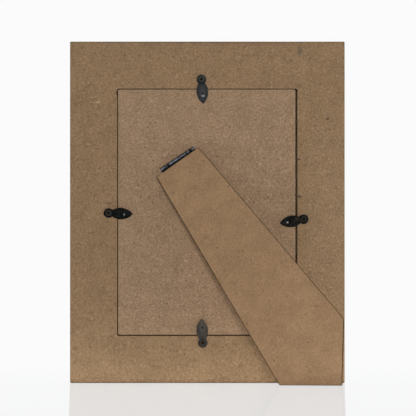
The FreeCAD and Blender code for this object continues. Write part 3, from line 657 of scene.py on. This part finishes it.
# darker in the middle of the head, round the recess
DARK_MIDDLE = (0.01, 0.006, 0.003)
DARK_MIDDLE_RADIUS = 1.75
RECESS_RUST = (0.012, 0.007, 0.003)
RECESS_REACH = 1.45
RECESS_LEVEL = 0.45  # under the top of the head
RECESS_WALL_COSINE = 0.5
RECESS_FLOOR_COSINE = 0.9
SCREW_ARRIS = 0.1
RECESS = 1  # the second material of a screw
recess_rust = dark_steel("recess_rust", RECESS_RUST, roughness=0.8, specular=0.05)
for side in BUTTONS:
    pivot = Vector(joint_of["button_%s_turn" % side]["pos_m"])
    middle = across_and_up(pivot)
    head_marks = (
        (*middle, HEAD_HIGHLIGHT_RADIUS, HEAD_HIGHLIGHT_RADIUS, 0.9, HEAD_HIGHLIGHT[side]),
        (*middle, DARK_MIDDLE_RADIUS, DARK_MIDDLE_RADIUS, 1.0, DARK_MIDDLE),
    )
    screw_black = dark_steel("screw_black_" + side, HEAD_BLACK, HEAD_ROUGHNESS, specular=HEAD_SHINE,
                             marks=head_marks)
    screw = softened("button_screw_" + side, "cross_screw_" + side, SCREW_ARRIS, [screw_black])
    screw.data.materials.append(recess_rust)
    head_top = max((vertex.co - pivot).dot(OUT) for vertex in screw.data.vertices)
    for face in screw.data.polygons:
        offset = face.center - pivot
        height = offset.dot(OUT)
        near_axis = (offset - OUT * height).length < RECESS_REACH * MM
        wall = height > 0 and abs(face.normal.dot(OUT)) < RECESS_WALL_COSINE
        sunk = 0 < height < head_top - RECESS_LEVEL * MM
        floor = sunk and face.normal.dot(OUT) > RECESS_FLOOR_COSINE
        if near_axis and (wall or floor):
            face.material_index = RECESS
    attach(screw, "moulding")


# Front ring: the face of the moulding, glued to the back ring. Its front and sides have a satin
# off-white lacquer, and its rear, where it laps over the glass, is bare board.

LACQUER_WHITE = (0.8, 0.78, 0.73)
LACQUER_ROUGHNESS = 0.38
CLOUDY_SHARE = 0.97  # how dark the cloudy places of a pale finish are
BARE_BOARD = 1  # the second material of the front ring
FRONT_ARRIS = 0.2
REAR_COSINE = 0.9


def satin_lacquer(name, colour):
    """Sprayed lacquer, sanded between coats, with a faint orange peel."""
    material, tree, output = new_material(name)
    surface = add_node(tree, "BsdfPrincipled", Roughness=LACQUER_ROUGHNESS, Specular_IOR_Level=0.5)
    place = add_node(tree, "TexCoord")
    cloud = noise(tree, place, scale=60, detail=3)
    blend = two_tone(tree, ramp(tree, cloud, *FINISH_RANGE), times(colour, CLOUDY_SHARE), colour)
    link(tree, blend, surface, COLOUR_OUT, "Base Color")
    link(tree, ramp(tree, cloud, 0.3, 0.7, at_low=0.33, at_high=0.45), surface, 0, "Roughness")
    relieved(tree, surface, noise(tree, place, scale=480, detail=2), strength=0.08, depth=0.2)
    link(tree, surface, output)
    return material


front_piece = softened("front_ring", "front_ring_board", FRONT_ARRIS,
                       [satin_lacquer("front_lacquer", LACQUER_WHITE)])
front_piece.data.materials.append(ring_face)
for face in front_piece.data.polygons:
    if face.normal.dot(OUT) > REAR_COSINE:
        face.material_index = BARE_BOARD
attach(front_piece, "moulding")


# Glass: a 2 mm pane of clear float glass with seamed edges, laid into the rebate against the front
# ring. A thin film of dust dulls it in places.

GLASS_TINT = (0.985, 0.995, 0.99, 1)
GLASS_ROUGHNESS = 0.02
PANE_ARRIS = 0.15
glass, tree, output = new_material("clear_glass")
surface = add_node(tree, "BsdfPrincipled", Base_Color=GLASS_TINT, Roughness=GLASS_ROUGHNESS, IOR=1.5,
                   Transmission_Weight=1.0)
dust = noise(tree, add_node(tree, "TexCoord"), scale=140, detail=4)
link(tree, ramp(tree, dust, 0.5, 0.8, at_high=0.06), surface, 0, "Roughness")
link(tree, surface, output)
pane = softened("glazing", "glass_pane", PANE_ARRIS, [glass])
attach(pane, "moulding")


# Photo insert: the sheet that the frame is sold with, here blank inside a printed double line. Its very
# edge, which shows in the widest gap beside the backing board, has painted shade.

INSERT_WHITE = (0.86, 0.85, 0.82)
INSERT_FIELD = (0.74, 0.735, 0.71)
INSERT_INK = (0.18, 0.19, 0.2)
# painted shade on the sheet's very edge
EDGE_SHADE = (0.012, 0.01, 0.008)
SHEET_ARRIS = 0.05
BEHIND_GLASS = 0.05  # a hair of air, so that the sheet and the pane don't share a surface
# How far in from the edge of the sheet each part of the print and the painted edge shade lies, and how
# softly it starts.
FIELD_MARGIN, FIELD_BLUR = 19.9, 0.1
INK_LINES, INK_BLUR = ((14.0, 14.5), (16.0, 16.25)), 0.05
SHADE_MARGIN, SHADE_BLUR = 0.9, 0.3
low, high = (Vector(corner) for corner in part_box("photo_insert"))
insert_middle = (low + high) / 2
half_across = (high.x - low.x) / 2
half_up = (high - low).dot(UP) / 2


def insert_paper():
    """Smooth card: a pale field inside a line near the sheet's edge."""
    material, tree, output = new_material("insert_paper")
    surface = add_node(tree, "BsdfPrincipled", Roughness=0.6)
    place = add_node(tree, "TexCoord")
    from_side = distance_along(tree, place, insert_middle, ACROSS)
    from_end = distance_along(tree, place, insert_middle, UP)
    margin = arithmetic(tree, "MINIMUM", arithmetic(tree, "SUBTRACT", half_across, from_side),
                        arithmetic(tree, "SUBTRACT", half_up, from_end))

    def inside(start, blur, at_low=0, at_high=1):
        return ramp(tree, margin, start * MM, (start + blur) * MM, at_low, at_high)

    fibres = noise(tree, place, scale=900, detail=3)
    cloudy = times(INSERT_WHITE, CLOUDY_SHARE)
    blend = two_tone(tree, ramp(tree, fibres, 0.3, 0.7), cloudy, INSERT_WHITE)
    blend = tint(tree, blend, inside(FIELD_MARGIN, FIELD_BLUR), INSERT_FIELD)
    for start, end in INK_LINES:
        line = arithmetic(tree, "MULTIPLY", inside(start, INK_BLUR), inside(end, INK_BLUR, 1, 0))
        blend = tint(tree, blend, line, INSERT_INK)
    blend = tint(tree, blend, inside(SHADE_MARGIN, SHADE_BLUR, 1, 0), EDGE_SHADE)
    link(tree, blend, surface, COLOUR_OUT, "Base Color")
    relieved(tree, surface, fibres, strength=0.05, depth=0.1)
    link(tree, surface, output)
    return material


sheet = softened("photo_insert", "insert_sheet", SHEET_ARRIS, [insert_paper()])
for vertex in sheet.data.vertices:
    if (vertex.co - insert_middle).dot(OUT) < 0:
        vertex.co += OUT * BEHIND_GLASS * MM
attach(sheet, "moulding")


# Filler card: a plain kraft card that packs the stack out to the backing board. It has painted shade
# where the gap beside that board is widest.

KRAFT_BROWN = (0.36, 0.26, 0.17)
# painted shade in the widest gap beside the backing board
GAP_SHADE = (65.3, 124.0, 2.4, 500.0, 1.0, (0.006, 0.005, 0.004))
CARD_ARRIS = 0.15
kraft = fibreboard("kraft_card", KRAFT_BROWN, mottle=0.04, grain_depth=0.12, marks=[GAP_SHADE])
card = softened("filler_card", "filler_card_sheet", CARD_ARRIS, [kraft])
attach(card, "moulding")
